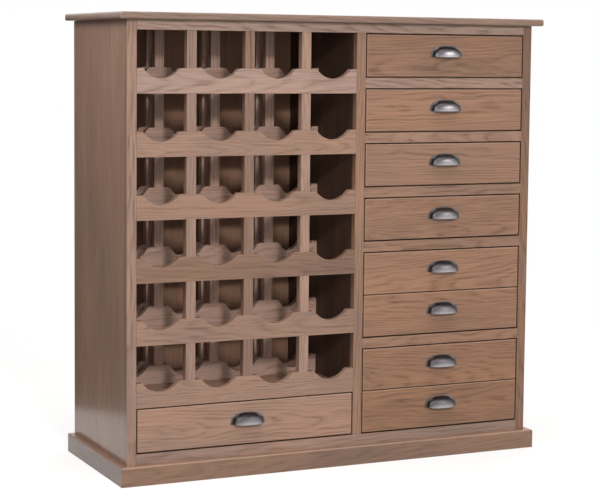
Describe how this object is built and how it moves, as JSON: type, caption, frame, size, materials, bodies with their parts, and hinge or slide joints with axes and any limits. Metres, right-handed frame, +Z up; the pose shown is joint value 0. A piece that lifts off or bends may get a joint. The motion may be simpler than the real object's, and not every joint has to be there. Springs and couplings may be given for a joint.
{
  "type": "wine cabinet",
  "caption": "Free-standing wooden wine cabinet with an open scalloped bottle rack beside a column of drawers, a wide drawer below the rack, cup pulls and a plinth.",
  "frame": {"origin": "on the floor, under the middle of the footprint", "axes": "+X to the right as seen from the front, -Y to the front (the way the drawers open), +Z up"},
  "size_m": [1.232, 0.457, 1.2],
  "materials": {
    "washed_oak": "grey-brown washed oak, satin",
    "shaded_oak": "grey-brown washed oak, matt, inside and back faces",
    "drawer_wood": "clear-lacquered light wood",
    "aged_pewter": "cast metal with an aged pewter finish, satin"
  },
  "bodies": {
    "cabinet": {"top_board": "washed_oak", "left_side_panel": "washed_oak", "right_side_panel": "washed_oak", "rack_floor_board": "washed_oak", "plinth_front": "washed_oak", "plinth_right": "washed_oak", "plinth_left": "washed_oak", "left_stile": "washed_oak", "right_stile": "washed_oak", "top_rail": "washed_oak", "bottom_rail": "washed_oak", "centre_stile": "washed_oak", "drawer_rail_1": "washed_oak", "drawer_rail_2": "washed_oak", "drawer_rail_3": "washed_oak", "drawer_rail_4": "washed_oak", "drawer_rail_5": "washed_oak", "rack_rail_1": "washed_oak", "rack_rail_2": "washed_oak", "rack_rail_3": "washed_oak", "rack_rail_4": "washed_oak", "rack_rail_5": "washed_oak", "rack_rail_6": "washed_oak", "rack_post_1": "washed_oak", "rack_post_2": "washed_oak", "rack_post_3": "washed_oak", "rack_middle_lattice": "washed_oak", "rack_rear_lattice": "washed_oak", "bottom_board": "shaded_oak", "divider_panel": "shaded_oak", "back_panel": "shaded_oak", "plinth_back": "shaded_oak", "left_runner_board": "drawer_wood", "right_runner_board": "drawer_wood", "wide_drawer_guide": "drawer_wood"},
    "drawer_1": {"drawer_1_front": "washed_oak", "drawer_1_cup_pull": "aged_pewter", "drawer_1_box": "drawer_wood"},
    "drawer_2": {"drawer_2_front": "washed_oak", "drawer_2_cup_pull": "aged_pewter", "drawer_2_box": "drawer_wood"},
    "drawer_3": {"drawer_3_front": "washed_oak", "drawer_3_cup_pull": "aged_pewter", "drawer_3_box": "drawer_wood"},
    "drawer_4": {"drawer_4_front": "washed_oak", "drawer_4_cup_pull": "aged_pewter", "drawer_4_box": "drawer_wood"},
    "deep_drawer_1": {"deep_drawer_1_upper_front": "washed_oak", "deep_drawer_1_upper_cup_pull": "aged_pewter", "deep_drawer_1_lower_front": "washed_oak", "deep_drawer_1_lower_cup_pull": "aged_pewter", "deep_drawer_1_box": "drawer_wood"},
    "deep_drawer_2": {"deep_drawer_2_upper_front": "washed_oak", "deep_drawer_2_upper_cup_pull": "aged_pewter", "deep_drawer_2_lower_front": "washed_oak", "deep_drawer_2_lower_cup_pull": "aged_pewter", "deep_drawer_2_box": "drawer_wood"},
    "wide_drawer": {"wide_drawer_front": "washed_oak", "wide_drawer_cup_pull": "aged_pewter", "wide_drawer_box": "drawer_wood"}
  },
  "joints": [
    {"name": "drawer_1_slide", "type": "slide", "parent": "cabinet", "child": "drawer_1", "axis": [0, -1, 0], "range_m": [0, 0.3]},
    {"name": "drawer_2_slide", "type": "slide", "parent": "cabinet", "child": "drawer_2", "axis": [0, -1, 0], "range_m": [0, 0.3]},
    {"name": "drawer_3_slide", "type": "slide", "parent": "cabinet", "child": "drawer_3", "axis": [0, -1, 0], "range_m": [0, 0.3]},
    {"name": "drawer_4_slide", "type": "slide", "parent": "cabinet", "child": "drawer_4", "axis": [0, -1, 0], "range_m": [0, 0.3]},
    {"name": "deep_drawer_1_slide", "type": "slide", "parent": "cabinet", "child": "deep_drawer_1", "axis": [0, -1, 0], "range_m": [0, 0.3]},
    {"name": "deep_drawer_2_slide", "type": "slide", "parent": "cabinet", "child": "deep_drawer_2", "axis": [0, -1, 0], "range_m": [0, 0.3]},
    {"name": "wide_drawer_slide", "type": "slide", "parent": "cabinet", "child": "wide_drawer", "axis": [0, -1, 0], "range_m": [0, 0.3]}
  ]
}
